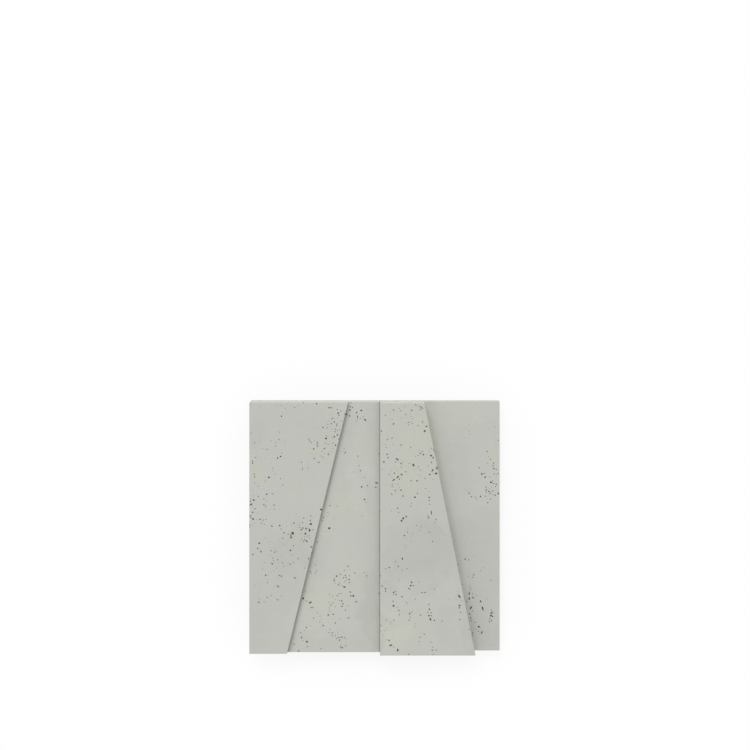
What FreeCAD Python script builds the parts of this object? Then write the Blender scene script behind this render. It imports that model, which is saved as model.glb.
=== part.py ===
"""Relief wall panel: a square tile cast in one piece, with a flat back and four flat facets in front.

The panel lies on its back. X runs across its width, Y up its height as it hangs, and Z out of its face.
The origin is the middle of the back. From left to right the facets are:

    left facet    narrows downwards and ends in a slanted step
    valley facet  lower than both of its neighbours
    ridge facet   the thickest one, upright on its left side and spreading downwards on its right
    right facet   the thinnest one, which reaches the right edge

Each facet is parallel to the back, and the steps between the facets are square to it. Every outside edge
of the front is a rounded arris, and the feet of the steps are sharp, as they leave the mould.
"""

import FreeCAD, Part
import Sketcher
import os

NODE_NAME = "relief_panel"

# Driving sizes in millimetres: the alias, the value and what it measures
SIZES = (
    ("panel_width", 600.0, "across the panel, along X"),
    ("panel_height", 600.0, "up the panel as it hangs, along Y"),
    ("left_thickness", 40.0, "back to the face of the left facet"),
    ("valley_thickness", 30.0, "back to the face of the valley facet"),
    ("ridge_thickness", 50.0, "back to the face of the ridge facet"),
    ("right_thickness", 20.0, "back to the face of the right facet"),
    ("left_width_top", 236.0, "left facet along the top edge"),
    ("left_width_foot", 90.0, "left facet along the bottom edge"),
    ("ridge_start", 312.0, "left edge of the panel to the upright side of the ridge"),
    ("ridge_width_top", 105.5, "ridge facet along the top edge"),
    ("ridge_width_foot", 227.0, "ridge facet along the bottom edge"),
    ("arris_radius", 1.0, "rounding of the outside edges of the front"),
)

# Upright lines of the plan, as expressions for their X
LEFT = "-Sizes.panel_width / 2"
RIGHT = "Sizes.panel_width / 2"
RIDGE = LEFT + " + Sizes.ridge_start"

# Level lines of the plan, as expressions for their Y
TOP = "Sizes.panel_height / 2"
FOOT = "-Sizes.panel_height / 2"

# Ends of the two slanted steps, as pairs of expressions for X and Y
LEFT_STEP_FOOT = (LEFT + " + Sizes.left_width_foot", FOOT)
LEFT_STEP_TOP = (LEFT + " + Sizes.left_width_top", TOP)
RIGHT_STEP_FOOT = (RIDGE + " + Sizes.ridge_width_foot", FOOT)
RIGHT_STEP_TOP = (RIDGE + " + Sizes.ridge_width_top", TOP)

# Each facet, from left to right: its name, the size that its face stands at, and its corners,
# anticlockwise from the bottom left one
FACETS = (
    ("left_facet", "left_thickness", ((LEFT, FOOT), LEFT_STEP_FOOT, LEFT_STEP_TOP, (LEFT, TOP))),
    ("valley_facet", "valley_thickness", (LEFT_STEP_FOOT, (RIDGE, FOOT), (RIDGE, TOP), LEFT_STEP_TOP)),
    ("ridge_facet", "ridge_thickness", ((RIDGE, FOOT), RIGHT_STEP_FOOT, RIGHT_STEP_TOP, (RIDGE, TOP))),
    ("right_facet", "right_thickness", (RIGHT_STEP_FOOT, (RIGHT, FOOT), (RIGHT, TOP), RIGHT_STEP_TOP)),
)

# How far from an edge a point is tested for being in the cast, and how closely, in millimetres
PROBE = 0.05
TOLERANCE = 0.005


def make_sheet(doc):
    """The spreadsheet that holds the driving sizes, one row for each."""
    sheet = doc.addObject("Spreadsheet::Sheet", "Sizes")
    for row, (alias, value, meaning) in enumerate(SIZES, start=1):
        sheet.set("A%d" % row, alias)
        sheet.set("B%d" % row, str(value))
        sheet.set("C%d" % row, meaning)
        sheet.setAlias("B%d" % row, alias)
    doc.recompute()
    return sheet


def origin_plane(body, role):
    """One of the body's own origin planes, found by its role."""
    return next(feature for feature in body.Origin.OriginFeatures if feature.Role == role)


def draw_outline(body, sheet, name, corners):
    """A closed outline on the back plane, with each corner held by its distances from the origin."""
    sketch = body.newObject("Sketcher::SketchObject", name)
    sketch.AttachmentSupport = [(origin_plane(body, "XY_Plane"), "")]
    sketch.MapMode = "FlatFace"
    points = [
        FreeCAD.Vector(sheet.evalExpression(across), sheet.evalExpression(up), 0)
        for across, up in corners
    ]
    following = points[1:] + points[:1]
    for start, end in zip(points, following):
        sketch.addGeometry(Part.LineSegment(start, end))
    for line in range(len(points)):
        next_line = (line + 1) % len(points)
        sketch.addConstraint(Sketcher.Constraint("Coincident", line, 2, next_line, 1))
    for line, (point, (across, up)) in enumerate(zip(points, corners)):
        bind_distance(sketch, "DistanceX", line, point.x, across)
        bind_distance(sketch, "DistanceY", line, point.y, up)
    sketch.Visibility = False
    return sketch


def bind_distance(sketch, kind, line, value, expression):
    """Holds the start of a line at a distance from the origin that an expression drives."""
    number = sketch.addConstraint(Sketcher.Constraint(kind, -1, 1, line, 1, value))
    sketch.setExpression("Constraints[%d]" % number, expression)


def cast_facet(body, sheet, name, thickness, corners):
    """A pad from the back plane up to the facet's face."""
    pad = body.newObject("PartDesign::Pad", name)
    pad.Profile = draw_outline(body, sheet, name + "_outline", corners)
    pad.setExpression("Length", "Sizes." + thickness)
    body.Document.recompute()


def stands_out(shape, edge):
    """True for an outside edge of the cast, and false for the foot of a step."""
    first, second = shape.ancestorsOfType(edge, Part.Face)
    middle = edge.valueAt((edge.FirstParameter + edge.LastParameter) / 2)
    first_normal = first.normalAt(*first.Surface.parameter(middle))
    second_normal = second.normalAt(*second.Surface.parameter(middle))
    across = (first_normal - second_normal) * PROBE
    return not shape.isInside(middle + across, TOLERANCE, True)


def round_arrises(body):
    """The rounding that runs along every outside edge of the front and up the four corners."""
    cast = body.Tip
    arrises = [
        "Edge%d" % number
        for number, edge in enumerate(cast.Shape.Edges, start=1)
        if edge.BoundBox.ZMax > PROBE and stands_out(cast.Shape, edge)
    ]
    fillet = body.newObject("PartDesign::Fillet", "arrises")
    fillet.Base = (cast, arrises)
    fillet.setExpression("Radius", "Sizes.arris_radius")
    body.Document.recompute()


def check(doc, body):
    """Stops the script if a feature failed, or if the cast isn't one sound solid."""
    failed = [
        item.Label
        for item in doc.Objects
        if "Invalid" in item.State or "Error" in item.State
    ]
    if failed:
        raise RuntimeError("these features failed: " + ", ".join(failed))
    shape = body.Shape
    if shape.isNull() or not shape.isValid() or len(shape.Solids) != 1:
        raise RuntimeError(body.Label + " isn't one sound solid")


def main():
    doc = FreeCAD.newDocument("ReliefWallPanel")
    sheet = make_sheet(doc)
    panel = doc.addObject("PartDesign::Body", "Panel")
    panel.Label = NODE_NAME
    for name, thickness, corners in FACETS:
        cast_facet(panel, sheet, name, thickness, corners)
    round_arrises(panel)
    panel.Placement = FreeCAD.Placement()
    doc.recompute()
    check(doc, panel)
    os.makedirs("parts", exist_ok=True)
    panel.Shape.exportStep("parts/%s.step" % panel.Label)
    print("%s: %.0f mm3 in %d faces" % (panel.Label, panel.Shape.Volume, len(panel.Shape.Faces)))


main()
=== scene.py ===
"""Relief wall panel in fair-faced concrete, lying on its back on a pale floor and seen from above.

The cast solid comes from the frame. Here it gets what the mould and the trapped air leave on such a
panel: open pores in clusters, pits, nicks in the arrises, and a matt, faintly clouded cement skin.
Shade and light are also painted into the skin's colour: in the feet of the steps, in the pinholes, in a
few ovals and, in part, in the darker walls of the pores.

Places on the face are given as they would be measured on the panel: millimetres from its left edge and
from its top edge. The panel's top edge points along +Y and its face along +Z.
"""

import math
import random

import bmesh
import bpy
from mathutils import Matrix, Vector, noise
from mathutils.bvhtree import BVHTree


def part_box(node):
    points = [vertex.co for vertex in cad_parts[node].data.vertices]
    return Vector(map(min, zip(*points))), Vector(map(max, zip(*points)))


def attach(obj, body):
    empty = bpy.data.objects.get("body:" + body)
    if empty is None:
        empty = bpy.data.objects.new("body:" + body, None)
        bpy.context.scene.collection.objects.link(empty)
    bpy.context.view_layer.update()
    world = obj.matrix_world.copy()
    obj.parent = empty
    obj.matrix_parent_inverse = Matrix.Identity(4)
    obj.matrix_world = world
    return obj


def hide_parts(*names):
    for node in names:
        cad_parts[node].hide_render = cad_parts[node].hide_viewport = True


bl_info = {
    "name": "Relief Wall Panel",
    "version": (1, 0, 0),
    "blender": (4, 5, 0),
    "location": "3D View > Sidebar > Relief Panel",
    "description": "Casts a concrete relief panel with open pores and lays it on a pale floor",
    "category": "Add Mesh",
}

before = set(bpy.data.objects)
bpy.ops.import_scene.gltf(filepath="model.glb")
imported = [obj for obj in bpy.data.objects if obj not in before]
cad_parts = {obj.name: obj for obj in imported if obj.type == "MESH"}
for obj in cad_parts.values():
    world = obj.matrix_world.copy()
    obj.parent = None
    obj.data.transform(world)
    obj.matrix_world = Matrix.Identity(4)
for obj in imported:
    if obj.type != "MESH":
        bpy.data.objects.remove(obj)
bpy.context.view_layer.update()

NODE = "relief_panel"
BODY = "root"
PIECE = "cast_panel"

MM = 0.001
LOW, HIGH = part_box(NODE)

# Points of the solid that are closer than this, in metres, are one point, and faces that meet at less
# than this angle are one flat face
WELD = 1e-6
FLAT = math.radians(0.5)

# Slivers that the cutting leaves are closed up where they are narrower than this, in metres
SLIVER = 5e-7

# Edges between faces that meet at more than this angle are shaded as sharp
SHARP = math.radians(38)

# A step's foot is an edge where the solid turns inwards by more than this angle, and it is longer than
# this, in metres
FOOT_ANGLE = math.radians(60)
FOOT_LENGTH = 0.3

# A pore is what an uneven ball, a lump, cuts out of the surface. Its kind says how far the lump's middle
# is below the surface, as a share of the lump's half height, and how great that half height is, as a
# share of the radius of the pore's mouth.
UNDERCUT = (0.45, 1.30)
OPEN = (0.10, 0.90)
SHALLOW = (-0.60, 0.95)
BORED = (0.30, 2.60)

# A lump's bulges and grit: how high they stand, as shares of its radius, how quickly they follow one
# another, and how far away in the same noise the next lump may find its own
BULGE = 0.30
BULGE_PACE = 1.3
GRIT = 0.16
GRIT_PACE = 4.0
NOISE_SPAN = 100

# How often the ball of the smallest lumps is divided, and the reaches past which it is divided again
LEAST_DIVISION = 2
FINER_REACHES = (1.9 * MM, 3.0 * MM)

# A lump's facets lie inside its ball, so the balls of the pores in the tables are this much wider
FACET_ALLOWANCE = 1.07

# Lumps that are cut out together are this many times the sum of their reaches apart, so that none touch
APART = 1.3

# Random pores: the least, the greatest and the commonest width, as shares of the usual one, and the
# least and the greatest length, as shares of the width
SMALL_WIDTHS = (0.8, 1.25, 1.0)
SMALL_LENGTHS = (1, 1.4)
SIDE_WIDTHS = (0.5, 2.2, 0.9)
SIDE_LENGTHS = (1, 1.5)
NICK_WIDTHS = (0.35, 1.0, 0.5)
NICK_LENGTHS = (1.0, 2.2)

# Width of the pits that are spread at random, as a share of the usual pit's
FURTHER_PIT = 0.8

# Side pores lie between these shares of the panel's height
SIDE_BAND = (0.1, 0.9)

# How far a nick may be from the line of its arris, in millimetres
NICK_ASIDE = 1.2

# Pores, each as its place from the left and the top edge, the length and width of its mouth, and the
# turn of its length from the panel's width in degrees. A round pore has no width and any turn, and one
# that lies along the panel's width has no turn. First the deep ones, which are wider inside than at
# their mouth.
UNDERCUT_PORES = (
    # Left facet
    (212, 26, 4), (77, 33, 4, 3, 90), (210, 78, 3.5), (203, 82, 4.5, 3, -45), (183, 86, 4.5),
    (206, 102, 3.5), (154, 111, 4), (75, 129, 3.5), (68, 133, 4, 3, 90), (8, 140, 2.5), (8, 145, 3.5),
    (13, 178, 3.5), (47, 179, 4.5), (42, 219, 4, 3), (11, 233, 4.5, 3.5), (5, 243, 4.5, 3.5, 40),
    (59, 245, 3.5, 2.5, -35), (172, 256, 6.5, 5, -45), (8, 262, 3.5), (9, 278, 6.5, 3, -25),
    (147, 290, 5), (73, 294, 3.5), (54, 295, 4.5, 2.5, -40), (124, 304, 4, 3), (144, 305, 6.5, 4, 90),
    (103.5, 312.5, 6.5, 5.5, 90), (134, 313, 5, 4, 30), (137, 331, 6, 2.5, -45), (24, 336, 5, 3.5, -20),
    (20, 348, 3), (98, 353, 4.5, 3.5, 40), (61, 357, 3), (148, 362, 3.5), (39, 412, 3.5),
    # Valley
    (267, 21, 4), (239, 34, 4, 3, 90), (277, 44, 4), (265, 165, 3), (268, 204, 4.5, 3.5, 60),
    (275, 234, 4.5, 3, 90), (190, 303, 5), (252, 410, 3.5), (229, 416, 3), (208, 418, 4),
    (238, 426, 4.5, 3.5), (202, 428, 3.5), (227, 444, 6.5, 3.5, -22), (241, 456, 3.5, 3, 90),
    (248, 465, 5.5, 4, -45), (128, 471, 4.5, 4, 90), (220, 477, 4, 3, 90), (145, 481, 7, 5, 25),
    (200, 509, 4.5, 2.5, -20), (188, 511, 4), (176, 536, 3.5), (124, 565, 4, 3, 90), (137, 575, 4.5),
    (221, 589, 5, 2.5, 5),
    # Ridge
    (325, 30, 2.5), (380, 46, 3.5, 2.5), (344, 50, 4, 3, 90), (422, 56, 4), (315, 67, 4, 3, 90),
    (418, 67, 5.5, 4.5, -25), (415, 123, 3.5), (433, 125, 5, 3.5, -35), (321, 140, 3.5), (434, 141, 3),
    (362, 144, 3.5), (391.5, 148, 7.5, 4.5, -78), (448, 155, 6), (437, 160, 6.5, 3, 45),
    (346, 167, 4, 3, 90), (445.5, 168, 5.5), (363, 170, 4.5), (430, 170, 4.5, 3), (354, 176, 8, 3, 50),
    (358, 181, 3), (344, 183, 7, 2.5, 32), (400, 185, 4), (362, 207, 3.5), (395, 224, 4.5, 3.5),
    (367, 274, 5.5, 4.5, 90), (363, 280, 5, 4, -60), (370, 315, 3), (365, 370, 5, 3, 90), (334, 391, 3),
    (387, 426, 4, 3.5, -45), (385, 434, 4.5, 3.5), (325, 441, 3.5), (344, 450, 3.5), (412, 450, 3),
    (419, 450, 3), (500, 459, 10, 3, -65), (344, 482, 5), (500, 486, 4, 3.5, 90), (429, 490, 3.5),
    (382, 501, 4, 3, 90), (428, 505, 4), (431.5, 513.5, 7, 3.5, -70), (441, 516, 3.5), (334, 564, 4),
    (338, 575.5, 7.5, 4.5, 30), (354, 587, 6, 4, 90),
    # Right facet
    (586, 162, 4, 2.5), (557, 175, 5.5, 3, -42), (565, 183, 3.5), (579, 195, 5.5, 4, -30),
    (568, 213, 3.5), (574, 217, 4, 2.5, -10), (597, 222, 4), (554, 229, 4, 3, 90), (517, 380, 3.5),
    (527, 463, 6, 3, 90), (536, 473, 4.5, 3, -40), (527, 475, 6.5, 3.5, 75), (554, 482, 5, 3.5, -65),
    (531, 497, 8, 3, 58), (559, 499, 9, 3.5, -72), (580, 510, 5, 4, 20), (579, 516, 5, 4, 30),
    (530, 521, 3.5, 3, 75), (550, 543, 5.5, 4, -10),
)
OPEN_PORES = (
    # Left facet
    (129, 1, 3), (161, 3, 4), (108, 12, 2.5), (210, 17, 3), (219, 21, 3), (228, 28, 3), (214, 31, 3.5),
    (203, 37, 2), (211, 37, 2), (198, 39, 3.5), (219, 45, 2), (203, 47, 3.5), (196, 51, 3.5, 2.5, 90),
    (187, 52, 2.5), (176, 60, 3.5), (186, 61, 2.5), (206, 64, 3), (215, 66, 2.5), (210, 67, 2.5),
    (205, 70, 4, 2.5, -45), (184, 80, 2.5), (142, 88, 3), (214, 88, 4, 2.5), (71, 89, 3), (52, 92, 2),
    (144, 92, 3.5, 2.5, -45), (13, 96, 4, 2, 90), (148, 96, 3.5, 2.5), (200, 97, 3.5, 2, 30),
    (181, 98, 3.5), (188, 100, 2.5), (163, 105, 5.5, 4.5, 90), (179, 111, 5, 3, -45),
    (42, 112, 3.5, 2.5, 20), (174, 118, 3.5, 2.5, -45), (78, 121, 2.5), (189, 124, 4.5, 3, -45),
    (15, 131, 3.5, 2), (176, 131, 3.5, 2, 30), (155, 134, 4.5, 2.5, 50), (125, 143, 3.5, 2.5, -45),
    (166, 143, 4, 3), (56, 158, 3, 2, 90), (12, 172, 4.5, 4, 90), (75, 182, 3, 2, 90), (39, 188, 4, 3),
    (55, 218, 5, 2, -45), (22, 224, 3.5, 3, 90), (35, 231, 3), (3, 236, 3), (35, 244, 3.5, 3, 90),
    (2, 245, 3), (39, 247, 3), (39, 252, 2), (14, 254, 3.5, 3), (147, 271, 3), (130, 276, 3.5, 2.5, -35),
    (26, 279, 4, 3.5), (40, 279, 2.5), (33, 281, 3, 2.5, 90), (146, 282, 4.5, 3, 90), (127, 287, 3),
    (29, 288, 3.5, 2.5), (107, 288, 4.5, 3, 70), (36, 291, 2.5), (1, 292, 4), (1, 298, 3), (128, 300, 4),
    (136, 301, 4.5), (76, 302, 3.5, 2), (152, 304, 3), (83, 311, 4, 3, -50), (93, 314, 2.5),
    (99, 317, 5, 3, 90), (139, 319, 2.5), (100, 322, 5.5), (80, 324, 3.5, 3), (144, 324, 3, 2),
    (125, 326, 3), (132, 328, 4, 3, 45), (130, 332, 3), (106, 342, 3), (148, 345, 5.5, 3.5),
    (52, 354, 3), (28, 356, 5, 3.5, 90), (9, 363, 5, 3, 45), (51, 364, 2), (56, 371, 2.5), (117, 373, 3),
    (142, 373, 4, 3, 90), (105, 381, 2.5), (80, 383, 3), (55, 385, 6, 3, -35), (98, 386, 4, 3, -25),
    (65, 395, 2.5), (132, 395, 2.5), (72, 413, 3.5), (77, 415, 4, 3, 90), (109, 418.5, 5.5, 3, -35),
    (44, 430, 3), (53, 460, 2.5), (43, 465, 3.5, 2.5, -15), (67, 471, 4, 2.5, 40), (37, 476, 2),
    (23, 477, 4),
    # Valley
    (243, 2, 2.5), (241, 11, 3), (246, 14, 3.5), (240, 20, 5, 3, 45), (256, 26, 4), (232, 30, 4.5),
    (258.5, 36, 7, 2.5, 85), (272, 36, 2), (265, 40, 2.5), (275, 42, 3), (258, 43, 2), (226, 112, 2.5),
    (229, 121, 4.5, 3, 45), (227, 124, 2), (259, 130, 3), (262, 153, 2.5), (304, 194.5, 7, 3.5, -15),
    (302, 205, 4, 3), (279, 241, 3.5, 2, -60), (192, 249, 4, 3, 15), (210, 251, 3.5),
    (187, 266, 3.5, 2.5, -20), (270, 274, 2), (177, 277, 4.5, 3, 40), (202, 280, 2),
    (174, 285, 3.5, 3, 90), (162, 336, 3), (157, 390, 2.5), (235, 394, 4.5, 3, 65), (239, 402, 2),
    (160, 404, 2), (227, 404, 3, 2.5), (145, 407, 4, 2.5, 90), (157, 409, 2.5), (275, 409, 3, 2.5, 90),
    (148, 411, 2), (217, 413, 3.5), (239, 417, 4.5, 2.5, 90), (280, 417, 4, 3, 90),
    (231, 421, 4.5, 3, -35), (224, 422, 4, 2.5, 60), (203, 424, 3), (231, 428, 2), (227, 430, 2),
    (203, 432, 3, 2, 90), (239, 433, 3.5, 3, -60), (215, 434, 4, 2, 90), (205, 436, 3.5, 2, 70),
    (213, 439, 5), (133, 454, 2.5), (220, 459, 2.5), (214, 460, 3), (191, 461, 3), (210, 465, 3.5),
    (242, 465, 4.5, 3.5, -20), (205, 473, 2), (215, 476, 2), (136, 477, 5, 2, -35), (255, 479, 4),
    (190, 481, 4, 2), (200, 481, 3), (223, 484, 4, 3), (195, 487, 4.5), (221, 490, 5.5, 3.5, -10),
    (205, 491, 3.5, 2, 90), (191, 492, 2.5), (149, 493, 8, 3.5, 5), (191, 497, 3), (229, 499, 4, 2, 90),
    (193, 502, 2.5), (162, 506, 4, 2, 55), (169, 514, 4, 3, -20), (153, 519, 5, 2.5, 90), (215, 520, 2),
    (173, 521, 3, 2, -45), (168, 528, 3.5, 2.5), (205, 530, 4, 2.5, 90), (136, 541, 4.5, 2.5, 90),
    (122, 553, 3), (190, 553, 3, 2), (198, 554, 4.5, 2.5, 40), (205, 560, 2.5), (220, 564, 4.5, 3),
    (213, 565, 5, 2), (227, 565, 4, 2), (208, 567, 3, 2.5, 60), (215, 571, 4, 2.5, 45), (106, 581, 3.5),
    (230, 584, 4, 2, 5), (138, 587, 3.5, 2.5, -60), (217, 587, 3), (170, 591, 3.5, 2), (117, 597, 4),
    # Ridge
    (397, 5, 4.5, 3, -20), (404, 8, 3.5, 2.5, -20), (370, 10, 2), (410, 11, 8, 2.5, -42), (358, 13, 2.5),
    (413, 13, 3.5), (408, 16, 4.5, 3, 30), (344, 17, 4.5, 3, 90), (387, 18, 5.5, 3.5, -45),
    (361, 19, 3.5, 2.5, 90), (373, 27, 4, 2.5, -35), (385, 32, 3, 2), (391, 37, 3.5, 2, 90),
    (336, 39, 2), (386, 44, 2), (413, 46, 6, 2.5, 90), (389, 49, 3.5, 2.5, 90), (379, 52, 3, 2, -30),
    (403, 54, 5.5, 2, 15), (330, 81, 2), (340, 84, 4.5, 3.5), (330, 87, 4.5), (325, 99, 2), (344, 99, 2),
    (362, 100, 7, 2.5, 25), (327, 106, 2), (385, 106, 5.5, 2.5, -60), (434, 108, 2.5),
    (439.5, 111, 4, 3, 90), (405, 113, 3, 2.5), (413, 115, 3), (440.5, 116, 3, 2, 90),
    (408, 120, 4.5, 3.5, -60), (329, 122, 4.5, 3), (310, 125, 4, 2.5, 90), (402, 125, 3.5, 2),
    (396, 127, 3, 2), (331, 130, 4, 3, 50), (438, 130, 6, 3, 80), (353, 134, 8.5, 4, -32),
    (349, 140, 3.5), (382, 144, 3.5, 3, 90), (427, 149, 3, 2.5), (403, 151, 2.5), (349, 153, 2),
    (362, 153, 3.5), (402, 155, 3.5, 2), (408, 160, 3.5, 3, -60), (373, 164, 4.5, 3.5, 90),
    (438, 167, 2), (334, 170, 2.5), (406, 172, 3, 2, 15), (419, 179, 3.5, 2.5, 20), (431, 180, 2),
    (438, 182, 2), (386, 185, 4), (341, 193, 2.5), (354, 193, 2.5), (341, 198, 3), (420, 203, 3, 2),
    (348, 208, 4, 3, 90), (401, 215, 3.5, 2.5, 60), (340, 217, 6, 2.5, -50), (367, 221, 4, 3, 60),
    (429, 224, 4), (429, 231, 3.5, 3, 90), (386, 238, 2), (430, 241, 3, 2), (385, 245, 3, 2),
    (354, 250, 3.5), (339, 256, 2), (356, 260, 2.5), (434, 261, 9, 2.5, 90), (374, 270, 5, 3.5, -75),
    (427, 272, 5, 3, 5), (445, 277, 4.5, 2, 35), (399, 291, 3), (409, 293, 3, 2), (377, 307, 2.5),
    (429, 307, 3), (437, 329, 3), (374, 342, 2), (349, 377, 3.5, 2, 90), (355, 388, 4, 3, -70),
    (325, 394, 2.5), (365, 397, 3, 2), (313, 411, 3.5, 3, -45), (358, 421, 2), (404, 425, 2.5),
    (391, 434, 3.5, 2.5, 90), (317, 435, 4, 3, -60), (381, 441, 6.5, 2.5, -45), (441, 442, 3, 2, 30),
    (325, 447, 5, 2.5, 90), (349, 448, 4, 2.5, 90), (344, 455, 3, 2), (350, 455, 4, 2.5),
    (310, 459, 5, 2.5, 90), (364, 460, 4, 3, 35), (506, 469, 2), (343, 471, 3.5), (375, 474, 3),
    (428, 478, 3.5), (501, 481, 6, 3.5), (353, 486, 3.5, 2.5), (357, 493, 5), (386, 497, 3),
    (425, 497, 3), (503, 497, 3.5), (433, 498, 3), (358, 503, 5, 2.5, 90), (408, 504, 3.5),
    (434, 505, 3.5), (384, 509, 2.5), (501, 514, 4, 2), (327, 516, 2.5), (345, 516, 4.5, 3.5, 60),
    (381, 516, 4, 3, -20), (459, 518, 3), (337, 521, 2), (396, 525, 2.5), (314, 529, 4, 3, 90),
    (395, 532, 3.5, 2.5), (524, 538, 2.5), (322, 541, 4, 3, 90), (313, 542, 3.5, 3),
    (417, 549, 4, 2.5, -40), (407, 556, 4.5, 2, -10), (329, 563, 4, 3, 90), (405, 567, 3, 2.5, 90),
    (345, 580, 5, 2.5, -45), (437, 580, 2.5), (436, 587, 4, 3, 90), (445, 587, 3), (380, 597, 3.5, 2.5),
    (438, 597, 3.5, 2),
    # Right facet
    (589, 62, 2), (527, 71, 2), (597, 94, 3), (570, 121, 4, 2.5, 10), (578, 140, 4),
    (585, 149, 5, 3.5, 90), (584, 155, 3.5), (551, 160, 3), (592, 164, 4, 2, 10),
    (563, 174, 3.5, 2.5, 90), (596, 174, 3), (587, 175, 3), (592, 179, 2), (583, 191, 3, 2),
    (585, 198, 4, 2, -25), (592, 200, 3.5), (590, 205, 3), (567, 207, 3), (583, 216, 4.5, 2, 50),
    (567, 218, 4, 2, 90), (527, 222, 4, 3, 90), (577, 222, 5, 2, 50), (589, 226, 4, 3.5, 45),
    (566, 229, 3, 2.5, 90), (532, 230, 3.5), (542, 231, 3, 2, 90), (578, 236, 3.5, 3),
    (571, 244, 4.5, 2, 35), (526, 382, 3), (500, 393, 2.5), (561, 400, 2), (555, 407, 3.5, 1.5),
    (538, 418, 3.5), (535, 424, 3), (578, 431, 3, 2.5, 90), (529, 447, 2), (530, 453, 3), (526, 458, 2),
    (535, 463, 2.5), (544, 467, 3, 2), (520, 482, 3), (580, 503, 4, 2.5, 90), (535, 505, 3),
    (584, 508, 4, 1.5, 20), (528, 512, 5.5, 2.5, -40), (583, 518, 3.5, 2.5, -45), (576, 523, 3.5, 2.5),
    (532, 528, 3), (580, 528, 4, 3, 90), (575, 530, 5, 2, 90), (541, 532, 3), (544, 548, 2),
    (549, 554, 3), (557, 557, 6.5, 4, 75), (535, 558, 3), (535, 564, 2.5),
)
SHALLOW_PORES = (
    # Left facet
    (193, 13, 10, 3, -5), (209, 54, 7, 3.5, 75), (4, 74, 4, 2, 35), (64, 96, 3.5, 2, -60),
    (163, 97, 8, 3, 90), (140, 157, 3), (127, 159, 8, 1.5, 88), (80, 197, 5, 1.5, 50), (50, 256, 2.5),
    (3, 272, 7, 4, 80), (124, 314, 3.5, 2.5), (68, 375, 3.5), (69, 439, 7.5, 4, -40),
    # Valley
    (282, 201, 5, 2.5, -70), (182, 311, 3.5), (199, 466, 3.5), (235, 488, 6, 1.5, 5), (236, 518, 6, 3.5),
    (192, 545, 4, 1.5, -10), (197, 560, 5, 1.5, -30),
    # Ridge
    (336, 23, 3.5, 1.5), (414, 73, 4, 1.5), (402, 77, 2.5), (376, 394, 3.5, 2.5), (396, 466, 3.5, 2.5),
    (328, 538, 9, 3, -70), (320, 551, 3.5), (433, 568, 3.5, 3),
    # Right facet
    (577, 182, 3, 2), (545, 236, 4, 1.5), (571, 475, 3.5, 1.5),
)

# Holes that go further down from the bottom of the blackest pores
BORED_PORES = (
    (103.5, 312.5, 6.5, 5.5, 90), (354, 587, 6, 4, 90), (448, 155, 5.5, 5.5), (190, 303, 4.5, 4),
    (395, 224, 4.5, 3), (128, 471, 4.5, 3.5, 90), (20, 348, 3, 3), (370, 315, 3, 3),
    (583, 518, 3.5, 3, -45), (419, 450, 2.5, 2.5), (11, 233, 4, 3), (47, 179, 4, 3.5),
)

# Small pores and pits, each as its place alone
SMALL_PORES = (
    # Left facet
    (76, 8), (87, 15), (117, 9), (73, 72), (85, 94), (63, 104), (32, 110), (18, 135), (139, 143),
    (222, 43), (199, 85), (198, 110), (156, 92), (182, 109), (179, 122), (171, 128), (12, 162),
    (13, 192), (21, 200), (62, 171), (10, 223), (42, 234), (4, 230), (60, 255), (8, 248), (18, 280),
    (13, 288), (8, 295), (88, 285), (89, 295), (100, 290), (120, 291), (120, 298), (39, 324),
    (25, 350), (132, 320), (144, 317), (124, 331), (64, 351), (58, 377), (78, 367), (82, 338),
    (99, 364), (70, 383), (93, 382), (82, 391), (31, 398), (59, 402), (52, 405), (44, 412), (13, 436),
    (77, 462), (24, 469),
    # Valley
    (256, 47), (248, 168), (275, 181), (208, 246), (184, 274), (261, 401), (221, 440), (142, 422),
    (211, 554), (219, 583), (132, 548), (128, 572), (145, 536),
    # Ridge
    (348, 23), (342, 39), (363, 36), (384, 26), (374, 48), (366, 141), (429, 115), (317, 158),
    (393, 159), (351, 163), (353, 158), (363, 175), (358, 201), (428, 210), (425, 267), (441, 284),
    (389, 311), (386, 328), (325, 425), (337, 441), (510, 441), (486, 326),
    # Right facet
    (528, 79), (573, 133), (571, 149), (568, 221), (575, 210), (580, 207), (583, 224), (522, 215),
    (538, 374), (525, 422),
)
PITS = (
    # Left facet
    (5, 8), (66, 8), (80, 23), (69, 68), (38, 133), (146, 122), (167, 10), (192, 120), (196, 117),
    (190, 45), (199, 33), (157, 119), (198, 65), (215, 61), (218, 56), (203, 112), (56, 164), (82, 183),
    (140, 151), (61, 216), (39, 258), (21, 265), (113, 265), (8, 325), (96, 307), (67, 355), (47, 332),
    (72, 329), (104, 364), (37, 382), (103, 376), (44, 423), (73, 472), (53, 496),
    # Valley
    (224, 119), (265, 272), (282, 424), (253, 473), (159, 514), (231, 569),
    # Ridge
    (374, 6), (386, 38), (399, 51), (389, 76), (330, 73), (355, 114), (337, 120), (423, 123),
    (394, 71), (363, 147), (380, 153), (339, 162), (400, 170), (389, 190), (367, 212), (366, 263),
    (373, 286), (378, 298), (405, 303), (372, 336), (427, 328), (437, 393), (354, 425), (349, 508),
    (377, 479), (405, 492), (438, 509), (462, 489), (474, 466),
    # Right facet
    (512, 574), (525, 56), (593, 100), (589, 133), (515, 211), (570, 234), (580, 586), (592, 541),
)
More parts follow.
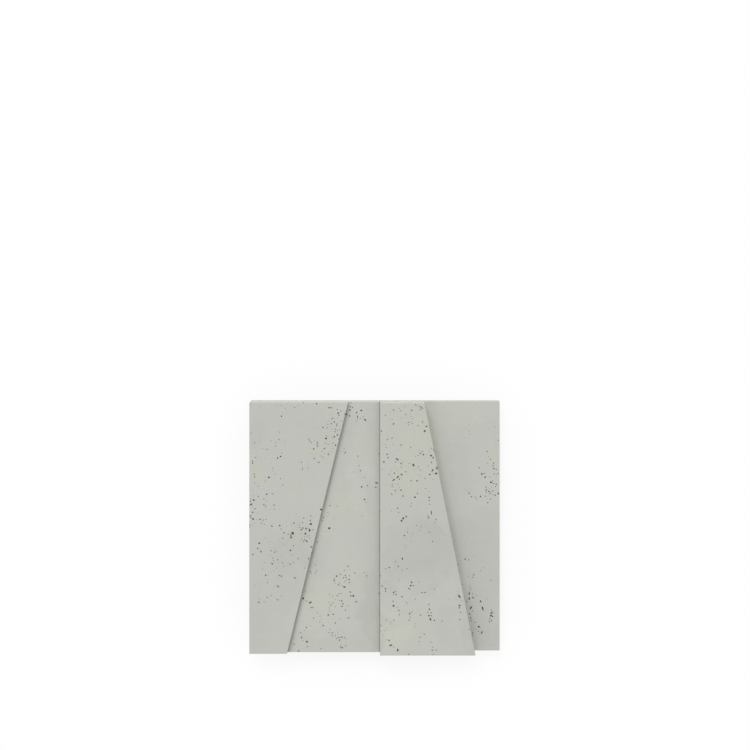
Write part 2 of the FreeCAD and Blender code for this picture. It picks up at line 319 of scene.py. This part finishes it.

# Clouds in the cement skin, and a few ovals of painted shade and painted light: middle and reach of each
# oval, across and along the panel, and how much darker it is, or lighter below 0
CLOUDS_AND_PAINTED_SHADING = (
    # Left facet
    (20, 95, 25, 40, 0.02), (15, 70, 30, 40, 0.015), (145, 45, 40, 25, 0.012), (195, 75, 25, 35, 0.02),
    (145, 340, 40, 70, 0.025), (65, 366, 40, 50, 0.025), (105, 365, 40, 50, 0.025),
    (88, 461, 40, 60, 0.02), (12, 520, 35, 110, 0.02),
    # Valley
    (235, 15, 25, 30, -0.02), (262, 90, 28, 110, -0.02), (268, 225, 26, 80, -0.035),
    # The oval at 200, 400 is painted light over the valley, which lifts the shade beside the left step, and
    # the one at 298, 520 is painted shade beside the foot of the middle step, lower down
    (200, 400, 62, 200, -0.02), (230, 430, 24, 20, 0.02), (122, 520, 28, 55, -0.025),
    (190, 590, 60, 25, 0.02), (298, 520, 34, 115, 0.055),
    # Ridge
    (400, 352, 88, 84, 0.05), (433, 316, 30, 20, 0.03), (395, 405, 80, 45, 0.02),
    (465, 375, 45, 55, 0.025), (335, 555, 45, 55, -0.04), (464, 520, 25, 60, 0.025),
    # Right facet
    (520, 12, 90, 40, -0.025), (500, 145, 25, 60, 0.03), (592, 170, 22, 60, -0.015),
    (545, 238, 30, 25, -0.02), (510, 312, 28, 28, 0.03), (560, 430, 60, 170, 0.05),
    (548, 580, 60, 50, 0.035),
)

# Yellowish clouds: middle and reach of each oval, and its strength where that isn't 1
WARM_CLOUDS = (
    (156, 116, 30, 18), (185, 14, 34, 13), (400, 70, 45, 60), (375, 182, 38, 36), (327, 78, 12, 30),
    (354, 14, 20, 13, 0.7), (425, 165, 22, 22, 0.6), (255, 108, 14, 24), (215, 250, 34, 30),
    (190, 298, 14, 20), (121, 240, 12, 11), (98, 322, 24, 17), (22, 165, 12, 60), (172, 466, 42, 52),
    (162, 515, 24, 18), (238, 400, 25, 20), (362, 542, 50, 48), (520, 22, 42, 20), (575, 130, 24, 34),
)

# Where a cloud's fading ends and starts, as shares of its reach, how wide the band is in which its
# outline strays, and how long the outline's waves are
CLOUD_FADE = (1.35, 0.5)
CLOUD_STRAY = 130 * MM
CLOUD_WAVE = 50 * MM

# Unevenness of the cement skin, from slow to fine: how large its features are, how much they change the
# tone, how high they stand, and how much the grain changes the roughness
DRIFT_SIZE = 220 * MM
DRIFT_TONE = 0.04
MOTTLE_SIZE = 12 * MM
MOTTLE_TONE = 0.05
MOTTLE_HEIGHT = 0.12 * MM
GRAIN_SIZE = 1.1 * MM
GRAIN_TONE = 0.10
GRAIN_HEIGHT = 0.10 * MM
GRAIN_ROUGHNESS = 0.12

# Pinholes in the cement skin: the width of the cell that each may lie in, where its edge starts and ends,
# as shares of that width, the cell's random number from which it has one, how much darker it is, which is
# painted shade in the hole, and how deep it is
PINHOLE_CELL = 4.2 * MM
PINHOLE_EDGE = (0.13, 0.05)
PINHOLE_CHANCE = (0.70, 0.72)
PINHOLE_PAINTED_SHADE = 0.35
PINHOLE_DEPTH = 0.25 * MM

# Roughness of the cement skin and of a pore's torn walls, and how strongly both reflect
SKIN_ROUGHNESS = 0.78
WALL_ROUGHNESS = 0.92
SPECULAR = 0.35

# Painted shade in the foot of each step, from the left one, where shadow and occlusion fall, and painted
# light where
# it is lighter: how far each reaches from the foot, and how much darker it is there, or lighter below 0.
# Each is full up to the last distance.
PAINTED_FOOT_SHADING = (
    ((9 * MM, 0.12),),
    ((3 * MM, 0.47), (16 * MM, 0.04)),
    ((45 * MM, 0.03), (8 * MM, -0.10)),
)
FOOT_FULL = 0.6 * MM

# The floor: how far it is below the panel, its colour, how white the camera sees it near the panel, and
# where it starts to turn to full white and ends, in metres from the panel's middle
FLOOR_GAP = 0.1 * MM
FLOOR_COLOUR = (0.88, 0.88, 0.88, 1)
FLOOR_WHITE = 0.8
FLOOR_FADE = (0.29, 0.44)

WHITE = (1, 1, 1, 1)

# The view: how far it is from the ridge, how far its middle is beyond the panel's, its lens in
# millimetres and its shift
VIEW_DISTANCE = 2.174
VIEW_RISE = 0.5924
VIEW_LENS = 43.96
VIEW_SHIFT = -0.127

# Direction to the key light: from beyond the top edge, a little from the left
KEY_DIRECTION = Vector((-0.25, 0.79, 0.56)).normalized()


class PanelSettings(bpy.types.PropertyGroup):
    """What can be changed about the cast panel."""

    grid: bpy.props.FloatProperty(
        name="Grid",
        description="Side of the squares that the flat faces are divided into",
        default=20 * MM,
        unit="LENGTH",
    )
    small_pore: bpy.props.FloatProperty(
        name="Small Pore",
        description="Usual width of the small pores",
        default=1.9 * MM,
        unit="LENGTH",
    )
    pit: bpy.props.FloatProperty(
        name="Pit",
        description="Usual width of the pits",
        default=1.3 * MM,
        unit="LENGTH",
    )
    pit_count: bpy.props.IntProperty(
        name="Further Pits",
        description="How many more pits are spread over the face",
        default=90,
    )
    side_pore_count: bpy.props.IntProperty(
        name="Side Pores",
        description="How many pores each side of the panel has",
        default=34,
    )
    nick_count: bpy.props.IntProperty(
        name="Nicks",
        description="How many nicks the arris of each step has",
        default=16,
    )
    seed: bpy.props.IntProperty(
        name="Seed",
        description="Start of the random numbers",
        default=11,
    )


class FinishSettings(bpy.types.PropertyGroup):
    """Colours of the concrete."""

    face_colour: bpy.props.FloatVectorProperty(
        name="Face",
        description="Cement skin of the faces",
        subtype="COLOR",
        size=3,
        default=(0.516, 0.521, 0.479),
    )
    warm_colour: bpy.props.FloatVectorProperty(
        name="Warm Cloud",
        description="Faint yellowish clouds in the cement skin",
        subtype="COLOR",
        size=3,
        default=(0.521, 0.525, 0.466),
    )
    # Darker than the skin partly as the torn walls' own colour and partly as painted shade inside the pores
    pore_colour_with_painted_shade: bpy.props.FloatVectorProperty(
        name="Pore",
        description="Rough walls of the pores",
        subtype="COLOR",
        size=3,
        default=(0.325, 0.327, 0.294),
    )


class StageSettings(bpy.types.PropertyGroup):
    """Floor and light."""

    floor_size: bpy.props.FloatProperty(
        name="Floor",
        description="Side of the floor",
        default=16.0,
        unit="LENGTH",
    )
    sky: bpy.props.FloatProperty(
        name="Sky",
        description="Strength of the even light from all sides",
        default=0.74,
    )
    key: bpy.props.FloatProperty(
        name="Key",
        description="Light that the key light lays on the face, as a share of a full light",
        default=0.26,
    )
    key_width: bpy.props.FloatProperty(
        name="Key Width",
        description="Angle that the key light covers, for soft shadows",
        default=math.radians(28),
        unit="ROTATION",
    )


class Wire:
    """A node's output, on which Python's arithmetic adds Math nodes."""

    def __init__(self, finish, socket):
        self.finish = finish
        self.socket = socket

    def math(self, operation, *values):
        """A Math node on the values."""
        return self.finish.node("ShaderNodeMath", {"operation": operation}, dict(enumerate(values)))

    def __add__(self, other):
        return self.math("ADD", self, other)

    def __sub__(self, other):
        return self.math("SUBTRACT", self, other)

    def __rsub__(self, other):
        return self.math("SUBTRACT", other, self)

    def __mul__(self, other):
        return self.math("MULTIPLY", self, other)

    __radd__ = __add__
    __rmul__ = __mul__

    def greatest(self, other):
        return self.math("MAXIMUM", self, other)

    def root(self):
        return self.math("SQRT", self)

    def ramp(self, start, end):
        """0 at start and 1 at end, eased at both, whichever of them is greater."""
        low, high = min(start, end), max(start, end)
        eased = self.finish.node(
            "ShaderNodeMapRange",
            {"interpolation_type": "SMOOTHSTEP"},
            {"Value": self, "From Min": low, "From Max": high},
        )
        return eased if end > start else 1 - eased


class Finish:
    """A material, or the sky, that is written as expressions."""

    # Sockets of a Mix node on colours. Those on numbers and vectors have the same names.
    MIX_FACTOR = 0
    MIX_FIRST = 6
    MIX_SECOND = 7
    MIX_RESULT = 2

    def __init__(self, owner):
        self.owner = owner
        owner.use_nodes = True
        self.tree = owner.node_tree
        self.tree.nodes.clear()

    def node(self, kind, settings=None, sockets=None, output=0):
        """Adds a node, makes its settings, then sets or links its sockets. Returns one output, if any."""
        node = self.tree.nodes.new(kind)
        for name, value in (settings or {}).items():
            setattr(node, name, value)
        for name, value in (sockets or {}).items():
            if isinstance(value, Wire):
                self.tree.links.new(value.socket, node.inputs[name])
            else:
                node.inputs[name].default_value = value
        return Wire(self, node.outputs[output]) if node.outputs else None

    def place(self):
        """The point on the piece, in metres, and its three coordinates."""
        point = self.node("ShaderNodeTexCoord", output="Object")
        split = self.node("ShaderNodeSeparateXYZ", sockets={"Vector": point})
        along = [Wire(self, output) for output in split.socket.node.outputs]
        return point, along

    def vector(self, operation, *values):
        """Vector maths on the values, which gives a number for a length and a vector for the rest."""
        output = "Value" if operation == "LENGTH" else "Vector"
        sockets = dict(enumerate(values))
        return self.node("ShaderNodeVectorMath", {"operation": operation}, sockets, output)

    def noise(self, point, size, detail=2.0, roughness=0.5, output=0):
        """Noise from 0 to 1 whose features are about size across, as a number or as a colour."""
        return self.node(
            "ShaderNodeTexNoise",
            sockets={"Vector": point, "Scale": 1 / size, "Detail": detail, "Roughness": roughness},
            output=output,
        )

    def cells(self, point, size, output="Distance"):
        """Cells about size across: the distance to the middle of the nearest, or its random colour."""
        return self.node(
            "ShaderNodeTexVoronoi", sockets={"Vector": point, "Scale": 1 / size}, output=output
        )

    def mix(self, factor, first, second):
        """Colour that goes from the first to the second with the factor."""
        sockets = {self.MIX_FACTOR: factor, self.MIX_FIRST: first, self.MIX_SECOND: second}
        return self.node("ShaderNodeMix", {"data_type": "RGBA"}, sockets, self.MIX_RESULT)

    def surface(self, shader):
        """Makes a shader the surface of the material, or the light of the sky."""
        sky = isinstance(self.owner, bpy.types.World)
        kind = "ShaderNodeOutputWorld" if sky else "ShaderNodeOutputMaterial"
        self.node(kind, sockets={"Surface": shader})
        return self.owner


def rgba(colour):
    """A colour property as a node socket takes it."""
    return (*colour, 1.0)


def on_panel(left, top):
    """A place on the face, from its millimetres from the left and the top edge."""
    return Vector((LOW.x + left * MM, HIGH.y - top * MM))


def welded_copy():
    """The cast solid as one closed mesh, each of its flat faces whole."""
    solid = bmesh.new()
    solid.from_mesh(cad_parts[NODE].data)
    bmesh.ops.remove_doubles(solid, verts=solid.verts, dist=WELD)
    bmesh.ops.dissolve_limit(solid, angle_limit=FLAT, verts=solid.verts, edges=solid.edges)
    return solid


def find_feet(solid):
    """The feet of the steps, as pairs of end points from the bottom edge up."""
    feet = []
    for edge in solid.edges:
        inward = not edge.is_convex and edge.calc_face_angle() > FOOT_ANGLE
        if inward and edge.calc_length() > FOOT_LENGTH:
            ends = sorted((vertex.co.copy() for vertex in edge.verts), key=lambda end: end.y)
            feet.append(ends)
    if len(feet) != len(PAINTED_FOOT_SHADING):
        raise RuntimeError("the panel should have %d steps, and has %d" % (len(PAINTED_FOOT_SHADING), len(feet)))
    return sorted(feet, key=lambda ends: ends[0].x)


def divide(solid, grid):
    """Cuts the faces along a square grid, so that each pore meets only small faces."""
    for axis in (0, 1):
        across = Vector((0, 0, 0))
        across[axis] = 1
        count = round((HIGH[axis] - LOW[axis]) / grid)
        for line in range(1, count):
            bmesh.ops.bisect_plane(
                solid,
                geom=solid.verts[:] + solid.edges[:] + solid.faces[:],
                dist=WELD,
                plane_co=across * (LOW[axis] + line * grid),
                plane_no=across,
            )


class PoreField:
    """Pores that are set into the surface of the solid and then cut out of it."""

    def __init__(self, solid, rng):
        self.surface = BVHTree.FromBMesh(solid)
        self.rng = rng
        self.batches = []

    def set_pore(self, start, direction, length, width, turn, kind):
        """Sets a pore where a ray from start first meets the surface, in the first batch with room."""
        point, normal, _, _ = self.surface.ray_cast(start, direction)
        if point is None:
            return
        sink, depth = kind
        spread = 1 / math.sqrt(1 - sink * sink)
        reach = max(length, width) / 2 * spread
        deep = (length + width) / 4 * depth
        middle = point - normal * (sink * deep)
        size = Vector((length / 2 * spread, width / 2 * spread, deep))
        pore = (middle, reach, normal, size, turn)
        for batch in self.batches:
            if self.has_room(batch, middle, reach):
                batch.append(pore)
                return
        self.batches.append([pore])

    def has_room(self, batch, middle, reach):
        """Whether a lump would stay clear of all those of a batch."""
        return all((middle - other).length > APART * (reach + far) for other, far, *_ in batch)

    def on_face(self, place, length, width, turn, kind):
        """Sets a pore in the face, straight below a place."""
        self.set_pore(Vector((place.x, place.y, 1)), Vector((0, 0, -1)), length, width, turn, kind)

    def set_listed(self, kind, left, top, length, width=None, turn=0):
        """Sets a pore of a table. One that has no width is round."""
        long = length * MM * FACET_ALLOWANCE
        wide = (width or length) * MM * FACET_ALLOWANCE
        turned = math.radians(turn) if width else turn_of(self.rng)
        self.on_face(on_panel(left, top), long, wide, turned, kind)

    def set_table(self, kind, pores):
        """Sets all the pores of a table."""
        for pore in pores:
            self.set_listed(kind, *pore)

    def lump(self, fine):
        """The mesh of an uneven ball one metre in radius."""
        ball = bmesh.new()
        bmesh.ops.create_icosphere(ball, subdivisions=fine, radius=1)
        offset = Vector([self.rng.uniform(0, NOISE_SPAN) for _ in range(3)])
        for vertex in ball.verts:
            bulge = BULGE * noise.noise(vertex.co * BULGE_PACE + offset)
            grit = GRIT * noise.noise(vertex.co * GRIT_PACE + offset)
            vertex.co *= 1 + bulge + grit
        mesh = bpy.data.meshes.new("lump")
        ball.to_mesh(mesh)
        ball.free()
        mesh.shade_smooth()
        return mesh

    def cutters(self, batch, material):
        """One object that holds the lumps that are cut out for a batch."""
        lumps = bmesh.new()
        for middle, reach, normal, size, turn in batch:
            lump = self.lump(LEAST_DIVISION + sum(1 for finer in FINER_REACHES if reach > finer))
            stand = normal.to_track_quat("Z", "Y").to_matrix().to_4x4()
            spin = Matrix.Rotation(turn, 4, "Z")
            lump.transform(Matrix.Translation(middle) @ stand @ spin @ Matrix.Diagonal((*size, 1)))
            lumps.from_mesh(lump)
            bpy.data.meshes.remove(lump)
        mesh = bpy.data.meshes.new("pore_cutters")
        lumps.to_mesh(mesh)
        lumps.free()
        mesh.materials.append(material)
        cutter = bpy.data.objects.new("pore_cutters", mesh)
        bpy.context.scene.collection.objects.link(cutter)
        return cutter

    def cut(self, piece, material):
        """Cuts every batch out of the piece, and leaves the result as its mesh."""
        cutters = [self.cutters(batch, material) for batch in self.batches]
        for cutter in cutters:
            boolean = piece.modifiers.new("pores", "BOOLEAN")
            boolean.operation = "DIFFERENCE"
            boolean.solver = "MANIFOLD"
            boolean.material_mode = "TRANSFER"
            boolean.object = cutter
        bpy.context.view_layer.update()
        uncut = piece.data
        evaluated = piece.evaluated_get(bpy.context.evaluated_depsgraph_get())
        mesh = bpy.data.meshes.new_from_object(evaluated)
        piece.modifiers.clear()
        piece.data = mesh
        bpy.data.meshes.remove(uncut)
        for cutter in cutters:
            bpy.data.meshes.remove(cutter.data)


def turn_of(rng):
    """Any turn in the face."""
    return rng.uniform(0, math.pi)


def set_small_pores(field, settings):
    """The small pores and pits of the face."""
    rng = field.rng
    span = HIGH - LOW
    spread = [(rng.random() * span.x / MM, rng.random() * span.y / MM) for _ in range(settings.pit_count)]
    for usual, places in (
        (settings.small_pore, SMALL_PORES),
        (settings.pit, PITS),
        (settings.pit * FURTHER_PIT, spread),
    ):
        for left, top in places:
            width = usual * rng.triangular(*SMALL_WIDTHS)
            length = width * rng.uniform(*SMALL_LENGTHS)
            field.on_face(on_panel(left, top), length, width, turn_of(rng), OPEN)


def scatter_side_pores(field, settings):
    """Pores in the four sides, where air rises along the mould."""
    rng = field.rng
    middle = (LOW + HIGH) / 2
    for inward in (Vector((1, 0, 0)), Vector((-1, 0, 0)), Vector((0, 1, 0)), Vector((0, -1, 0))):
        across = inward.cross(Vector((0, 0, 1)))
        for _ in range(settings.side_pore_count):
            start = middle - inward + across * rng.uniform(LOW.x, HIGH.x)
            start.z = rng.uniform(*SIDE_BAND) * HIGH.z
            width = settings.small_pore * rng.triangular(*SIDE_WIDTHS)
            length = width * rng.uniform(*SIDE_LENGTHS)
            kind = rng.choice((UNDERCUT, OPEN, SHALLOW))
            field.set_pore(start, inward, length, width, turn_of(rng), kind)


def scatter_nicks(field, feet, settings):
    """Nicks in the arrises of the steps, which stand straight above their feet."""
    rng = field.rng
    for bottom, top in feet:
        for _ in range(settings.nick_count):
            place = bottom.lerp(top, rng.random())
            aside = rng.uniform(-NICK_ASIDE, NICK_ASIDE) * MM
            width = settings.small_pore * rng.triangular(*NICK_WIDTHS)
            length = width * rng.uniform(*NICK_LENGTHS)
            field.on_face(Vector((place.x + aside, place.y)), length, width, math.pi / 2, SHALLOW)


def pinholes(finish, point):
    """1 in the pinholes of the cement skin and 0 between them."""
    speck = finish.cells(point, PINHOLE_CELL).ramp(*PINHOLE_EDGE)
    number = finish.cells(point, PINHOLE_CELL, output="Color")
    chosen = finish.node("ShaderNodeSeparateColor", sockets={"Color": number}).ramp(*PINHOLE_CHANCE)
    return speck * chosen


def strayed_point(finish, point):
    """The point moved aside by a slow noise, so that what is drawn around it has an uneven outline."""
    wave = finish.noise(point, CLOUD_WAVE, output="Color")
    aside = finish.vector("SUBTRACT", wave, (0.5, 0.5, 0.5))
    stray = finish.vector("MULTIPLY", aside, (CLOUD_STRAY, CLOUD_STRAY, 0))
    return finish.vector("ADD", point, stray)


def clouds(finish, point, places):
    """Sum of ovals on the face that are as strong as their last number, or 1, and fade to their edge."""
    total = 0
    for left, top, reach_x, reach_y, *strength in places:
        middle = on_panel(left, top)
        aside = finish.vector("SUBTRACT", point, (middle.x, middle.y, 0))
        share = finish.vector("MULTIPLY", aside, (1 / (reach_x * MM), 1 / (reach_y * MM), 0))
        oval = finish.vector("LENGTH", share).ramp(*CLOUD_FADE)
        total = oval * (strength[0] if strength else 1.0) + total
    return total


def painted_foot_shading(x, y, z, feet):
    """How much darker the skin is painted in the feet of the steps, as painted shade, or lighter below 0 as
    painted light, and 0 a little away from them.
    """
    shade = 0
    for (bottom, top), shades in zip(feet, PAINTED_FOOT_SHADING):
        along = (top - bottom).normalized()
        aside = x * along.y - y * along.x - (bottom.x * along.y - bottom.y * along.x)
        above = z - bottom.z
        away = (aside * aside + above * above).root()
        for reach, depth in shades:
            shade = away.ramp(reach, FOOT_FULL) * depth + shade
    return shade


def cement(finish, base, feet, settings):
    """Colour of the cement skin over a base colour, with painted shade and painted light in it, its height
    in metres, and its grain around 0.
    """
    point, (x, y, z) = finish.place()
    drift = finish.noise(point, DRIFT_SIZE, detail=3) - 0.5
    mottle = finish.noise(point, MOTTLE_SIZE, detail=3, roughness=0.6) - 0.5
    grain = finish.noise(point, GRAIN_SIZE, roughness=0.6) - 0.5
    pinhole = pinholes(finish, point)
    strayed = strayed_point(finish, point)
    warmth = clouds(finish, strayed, WARM_CLOUDS)
    dark = clouds(finish, strayed, CLOUDS_AND_PAINTED_SHADING)

    colour = finish.mix(warmth, rgba(base), rgba(settings.warm_colour))
    tone = 1.0 + drift * DRIFT_TONE + mottle * MOTTLE_TONE + grain * GRAIN_TONE
    # The feet of the steps carry painted shade and painted light, the pinholes painted shade, and the ovals
    # clouds along with a few of painted shade and light
    tone = tone * (1 - painted_foot_shading(x, y, z, feet)) * (1 - pinhole * PINHOLE_PAINTED_SHADE) * (1 - dark)
    tinted = finish.node("ShaderNodeVectorMath", {"operation": "SCALE"}, {0: colour, "Scale": tone})
    height = mottle * MOTTLE_HEIGHT + grain * GRAIN_HEIGHT - pinhole * PINHOLE_DEPTH
    return tinted, height, grain


def concrete(name, base, feet, settings, rough):
    """Matt cement skin or, with a greater roughness, the torn walls of a pore, whose darker colour is
    partly painted shade.
    """
    finish = Finish(bpy.data.materials.new(name))
    colour, height, grain = cement(finish, base, feet, settings)
    normal = finish.node("ShaderNodeBump", sockets={"Height": height, "Distance": 1.0, "Strength": 1.0})
    shader = finish.node(
        "ShaderNodeBsdfPrincipled",
        sockets={
            "Base Color": colour,
            "Roughness": rough + grain * GRAIN_ROUGHNESS,
            "Normal": normal,
            "Specular IOR Level": SPECULAR,
        },
    )
    return finish.surface(shader)


def seen_directly(finish):
    """1 for rays from the camera, and for those that a gloss or a pane passes on."""
    camera, glossy, clear = (
        finish.node("ShaderNodeLightPath", output=name)
        for name in ("Is Camera Ray", "Is Glossy Ray", "Is Transmission Ray")
    )
    return camera.greatest(glossy).greatest(clear)


def pale_floor():
    """Pale paint that takes the shadow, mixed for the camera with white, more of it further away."""
    finish = Finish(bpy.data.materials.new("Pale Floor"))
    _, (x, y, _) = finish.place()
    square_x = x * x
    square_y = y * y
    rounded_square = (square_x * square_x + square_y * square_y).root().root()
    whiteness = FLOOR_WHITE + rounded_square.ramp(*FLOOR_FADE) * (1 - FLOOR_WHITE)
    paint = finish.node("ShaderNodeBsdfDiffuse", sockets={"Color": FLOOR_COLOUR})
    white = finish.node("ShaderNodeEmission", sockets={"Color": WHITE, "Strength": 1.0})
    share = seen_directly(finish) * whiteness
    mixed = finish.node("ShaderNodeMixShader", sockets={0: share, 1: paint, 2: white})
    return finish.surface(mixed)


class RELIEFPANEL_OT_cast(bpy.types.Operator):
    """Cast the panel from the frame's solid, with its pores, nicks and concrete"""

    bl_idname = "relief_panel.cast"
    bl_label = "Cast Panel"

    def execute(self, context):
        settings = context.scene.relief_panel
        colours = context.scene.relief_panel_finish
        solid = welded_copy()
        feet = find_feet(solid)
        field = self.set_pores(solid, feet, settings)
        divide(solid, settings.grid)
        skin = concrete("Cement Skin", colours.face_colour, feet, colours, SKIN_ROUGHNESS)
        wall = concrete("Pore Wall With Painted Shade", colours.pore_colour_with_painted_shade, feet, colours, WALL_ROUGHNESS)
        piece = self.uncut_piece(context, solid, skin)
        field.cut(piece, wall)
        self.close_slivers(piece.data)
        self.shade(piece)
        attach(piece, BODY)
        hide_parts(NODE)
        return {"FINISHED"}

    def set_pores(self, solid, feet, settings):
        """Every pore, pit and nick of the panel."""
        field = PoreField(solid, random.Random(settings.seed))
        field.set_table(UNDERCUT, UNDERCUT_PORES)
        field.set_table(OPEN, OPEN_PORES)
        field.set_table(SHALLOW, SHALLOW_PORES)
        set_small_pores(field, settings)
        scatter_side_pores(field, settings)
        scatter_nicks(field, feet, settings)
        field.set_table(BORED, BORED_PORES)
        return field

    def uncut_piece(self, context, solid, skin):
        """The panel's object before the pores are cut. The solid is used up, and its normals don't stay."""
        mesh = bpy.data.meshes.new(PIECE)
        solid.to_mesh(mesh)
        solid.free()
        if "custom_normal" in mesh.attributes:
            mesh.attributes.remove(mesh.attributes["custom_normal"])
        mesh.materials.append(skin)
        piece = bpy.data.objects.new(PIECE, mesh)
        context.scene.collection.objects.link(piece)
        return piece

    def close_slivers(self, mesh):
        """Leaves the cut mesh as whole triangles, and makes sure that it is closed."""
        work = bmesh.new()
        work.from_mesh(mesh)
        bmesh.ops.triangulate(work, faces=work.faces)
        bmesh.ops.dissolve_degenerate(work, dist=SLIVER, edges=work.edges)
        bmesh.ops.triangulate(work, faces=work.faces)
        open_edges = sum(1 for edge in work.edges if not edge.is_manifold)
        if open_edges:
            raise RuntimeError("the panel has %d open edges" % open_edges)
        work.to_mesh(mesh)
        work.free()

    def shade(self, piece):
        """Shades the arrises and pores smooth and everything else flat."""
        piece.data.shade_smooth()
        piece.data.set_sharp_from_angle(angle=SHARP)
        weighted = piece.modifiers.new("flat_faces_first", "WEIGHTED_NORMAL")
        weighted.keep_sharp = True


class RELIEFPANEL_OT_stage(bpy.types.Operator):
    """Add the floor, the light and the camera"""

    bl_idname = "relief_panel.stage"
    bl_label = "Set Up Stage"

    def execute(self, context):
        settings = context.scene.relief_panel_stage
        self.add_floor(context, settings)
        self.add_sky(context, settings)
        self.add_key(context, settings)
        self.add_camera(context)
        context.scene.view_settings.view_transform = "Standard"
        return {"FINISHED"}

    def add_floor(self, context, settings):
        """A pale floor that turns to white away from the panel, for the camera alone."""
        grid = bmesh.new()
        bmesh.ops.create_grid(grid, x_segments=1, y_segments=1, size=settings.floor_size / 2)
        bmesh.ops.translate(grid, verts=grid.verts, vec=(0, 0, -FLOOR_GAP))
        mesh = bpy.data.meshes.new("floor")
        grid.to_mesh(mesh)
        grid.free()
        mesh.materials.append(pale_floor())
        floor = bpy.data.objects.new("floor", mesh)
        context.scene.collection.objects.link(floor)

    def add_sky(self, context, settings):
        """Even light from all sides, which looks white."""
        sky = Finish(bpy.data.worlds.new("Even Sky"))
        lit = sky.node("ShaderNodeBackground", sockets={"Color": WHITE, "Strength": settings.sky})
        white = sky.node("ShaderNodeBackground", sockets={"Color": WHITE, "Strength": 1.0})
        mixed = sky.node("ShaderNodeMixShader", sockets={0: seen_directly(sky), 1: lit, 2: white})
        context.scene.world = sky.surface(mixed)

    def add_key(self, context, settings):
        """A soft light from beyond the top edge that grazes the face."""
        light = bpy.data.lights.new("key", "SUN")
        light.angle = settings.key_width
        light.energy = settings.key * math.pi / KEY_DIRECTION.z
        lamp = bpy.data.objects.new("key", light)
        lamp.rotation_euler = KEY_DIRECTION.to_track_quat("Z", "Y").to_euler()
        context.scene.collection.objects.link(lamp)

    def add_camera(self, context):
        """Looks straight down, from beyond the panel's top edge."""
        data = bpy.data.cameras.new("camera")
        data.lens = VIEW_LENS
        data.shift_y = VIEW_SHIFT
        camera = bpy.data.objects.new("camera", data)
        camera.location = (0, VIEW_RISE, HIGH.z + VIEW_DISTANCE)
        context.scene.collection.objects.link(camera)
        context.scene.camera = camera


class RELIEFPANEL_PT_panel(bpy.types.Panel):
    """Lists the panel's settings and steps"""

    bl_label = "Relief Panel"
    bl_space_type = "VIEW_3D"
    bl_region_type = "UI"
    bl_category = "Relief Panel"

    def draw(self, context):
        scene = context.scene
        for settings in (scene.relief_panel, scene.relief_panel_finish, scene.relief_panel_stage):
            column = self.layout.column()
            for name in type(settings).__annotations__:
                column.prop(settings, name)
        self.layout.operator(RELIEFPANEL_OT_cast.bl_idname)
        self.layout.operator(RELIEFPANEL_OT_stage.bl_idname)


CLASSES = (
    PanelSettings,
    FinishSettings,
    StageSettings,
    RELIEFPANEL_OT_cast,
    RELIEFPANEL_OT_stage,
    RELIEFPANEL_PT_panel,
)


def register():
    for item in CLASSES:
        bpy.utils.register_class(item)
    bpy.types.Scene.relief_panel = bpy.props.PointerProperty(type=PanelSettings)
    bpy.types.Scene.relief_panel_finish = bpy.props.PointerProperty(type=FinishSettings)
    bpy.types.Scene.relief_panel_stage = bpy.props.PointerProperty(type=StageSettings)


def unregister():
    del bpy.types.Scene.relief_panel
    del bpy.types.Scene.relief_panel_finish
    del bpy.types.Scene.relief_panel_stage
    for item in reversed(CLASSES):
        bpy.utils.unregister_class(item)


def main():
    register()
    bpy.ops.relief_panel.cast()
    bpy.ops.relief_panel.stage()


if __name__ == "__main__":
    main()
